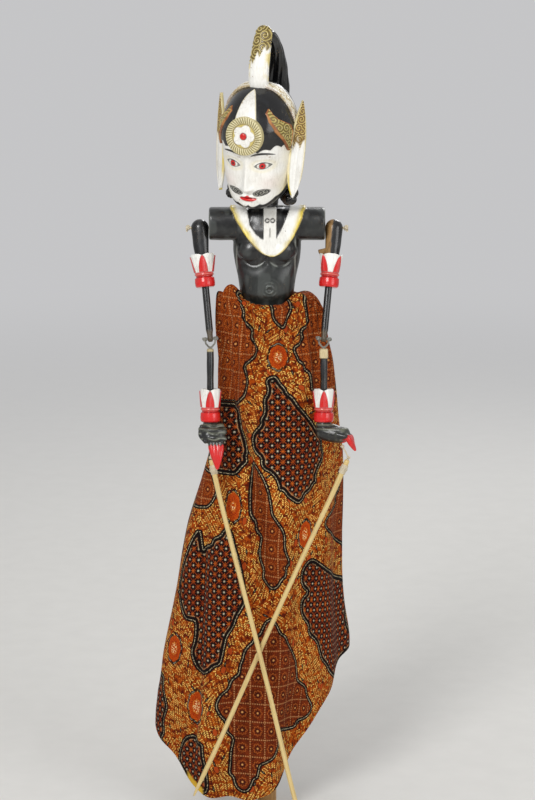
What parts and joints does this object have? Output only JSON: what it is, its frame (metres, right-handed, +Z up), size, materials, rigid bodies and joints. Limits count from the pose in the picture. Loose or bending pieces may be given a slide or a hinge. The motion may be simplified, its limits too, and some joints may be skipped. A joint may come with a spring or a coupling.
{
  "type": "rod puppet",
  "caption": "Carved wooden rod puppet: painted head turned by a central rod, tied arms moved by thin hand rods, and a patterned cloth skirt over the grip.",
  "frame": {"origin": "centre of the lower end of the central rod", "axes": "+Z up along the central rod, the figure faces -Y, its own left side is +X"},
  "size_m": [0.1899, 0.1547, 0.7448],
  "materials": {
    "rod_wood": "bare turned wood, rubbed",
    "cord": "twisted cotton",
    "black_painted_wood": "gloss paint, worn at the edges",
    "white_painted_wood": "satin paint, yellowed at the edges",
    "gilt_painted_wood": "gold and white paint over carving",
    "batik_cloth": "matt printed cotton",
    "red_painted_wood": "gloss paint",
    "bamboo": "split and scraped bamboo"
  },
  "bodies": {
    "rod_and_head": {"central_rod": "rod_wood", "head_block": "white_painted_wood", "forehead_disc": "gilt_painted_wood", "crown_band": "gilt_painted_wood", "right_temple_leaf": "gilt_painted_wood", "left_temple_leaf": "gilt_painted_wood", "right_ear_wing": "gilt_painted_wood", "left_ear_wing": "gilt_painted_wood", "front_plume": "gilt_painted_wood", "hair_roll": "black_painted_wood", "right_nape_curl": "black_painted_wood", "left_nape_curl": "black_painted_wood"},
    "stop_ring": {"stop_ring": "cord"},
    "torso": {"torso": "black_painted_wood", "right_shoulder_anchor": "cord", "left_shoulder_anchor": "cord", "skirt_top": "batik_cloth", "skirt_middle": "batik_cloth", "skirt_hem": "batik_cloth", "waist_cord": "cord"},
    "right_shoulder_tie": {"right_shoulder_cord": "cord"},
    "right_upper_arm": {"right_upper_arm": "black_painted_wood", "right_arm_cuff": "red_painted_wood"},
    "right_elbow_tie": {"right_elbow_cord": "cord"},
    "right_forearm": {"right_forearm": "black_painted_wood", "right_wrist_cuff": "red_painted_wood", "right_hand": "black_painted_wood"},
    "right_rod_tie": {"right_rod_thread": "cord"},
    "right_hand_rod": {"right_hand_rod": "bamboo", "right_rod_binding": "cord"},
    "left_shoulder_tie": {"left_shoulder_cord": "cord"},
    "left_upper_arm": {"left_upper_arm": "black_painted_wood", "left_arm_cuff": "red_painted_wood"},
    "left_elbow_tie": {"left_elbow_cord": "cord"},
    "left_forearm": {"left_forearm": "black_painted_wood", "left_wrist_cuff": "red_painted_wood", "left_hand": "black_painted_wood"},
    "left_rod_tie": {"left_rod_thread": "cord"},
    "left_hand_rod": {"left_hand_rod": "bamboo", "left_rod_binding": "cord"}
  },
  "joints": [
    {"name": "head_raise", "type": "slide", "parent": "rod_and_head", "child": "stop_ring", "axis": [0, 0, 1], "range_m": [-0.012, 0]},
    {"name": "head_turn", "type": "hinge", "parent": "stop_ring", "child": "torso", "pos_m": [0, 0, 0.452], "axis": [0, 0, 1], "range_deg": [-97, 53]},
    {"name": "right_shoulder_spread", "type": "hinge", "parent": "torso", "child": "right_shoulder_tie", "pos_m": [-0.0613, 0, 0.56], "axis": [0, -1, 0], "range_deg": [-80, 0]},
    {"name": "right_shoulder_swing", "type": "hinge", "parent": "right_shoulder_tie", "child": "right_upper_arm", "pos_m": [-0.0613, 0, 0.56], "axis": [-1, 0, 0], "range_deg": [0, 115]},
    {"name": "right_elbow_bend", "type": "hinge", "parent": "right_upper_arm", "child": "right_elbow_tie", "pos_m": [-0.05181, -0.02468, 0.46148], "axis": [0.9954, 0, 0.0958], "range_deg": [-125, 0]},
    {"name": "right_forearm_twist", "type": "hinge", "parent": "right_elbow_tie", "child": "right_forearm", "pos_m": [-0.05181, -0.02468, 0.46148], "axis": [0, -0.1564, -0.9877], "range_deg": [0, 90]},
    {"name": "right_rod_swing", "type": "hinge", "parent": "right_forearm", "child": "right_rod_tie", "pos_m": [-0.05181, -0.03662, 0.3647], "axis": [0, 1, 0], "range_deg": [-8, 80]},
    {"name": "right_rod_tilt", "type": "hinge", "parent": "right_rod_tie", "child": "right_hand_rod", "pos_m": [-0.05181, -0.03662, 0.3527], "axis": [-0.9703, 0, -0.2419], "range_deg": [0, 48]},
    {"name": "left_shoulder_spread", "type": "hinge", "parent": "torso", "child": "left_shoulder_tie", "pos_m": [0.0613, 0, 0.56], "axis": [0, 1, 0], "range_deg": [-80, 0]},
    {"name": "left_shoulder_swing", "type": "hinge", "parent": "left_shoulder_tie", "child": "left_upper_arm", "pos_m": [0.0613, 0, 0.56], "axis": [-1, 0, 0], "range_deg": [0, 115]},
    {"name": "left_elbow_bend", "type": "hinge", "parent": "left_upper_arm", "child": "left_elbow_tie", "pos_m": [0.05181, -0.02468, 0.46148], "axis": [0.9954, 0, -0.0958], "range_deg": [-125, 0]},
    {"name": "left_forearm_twist", "type": "hinge", "parent": "left_elbow_tie", "child": "left_forearm", "pos_m": [0.05181, -0.02468, 0.46148], "axis": [0, 0.1564, 0.9877], "range_deg": [0, 78]},
    {"name": "left_rod_swing", "type": "hinge", "parent": "left_forearm", "child": "left_rod_tie", "pos_m": [0.06885, -0.04518, 0.36522], "axis": [0, -1, 0], "range_deg": [0, 35]},
    {"name": "left_rod_tilt", "type": "hinge", "parent": "left_rod_tie", "child": "left_hand_rod", "pos_m": [0.07448, -0.04518, 0.35463], "axis": [-0.9121, 0, 0.4099], "range_deg": [0, 46]}
  ]
}
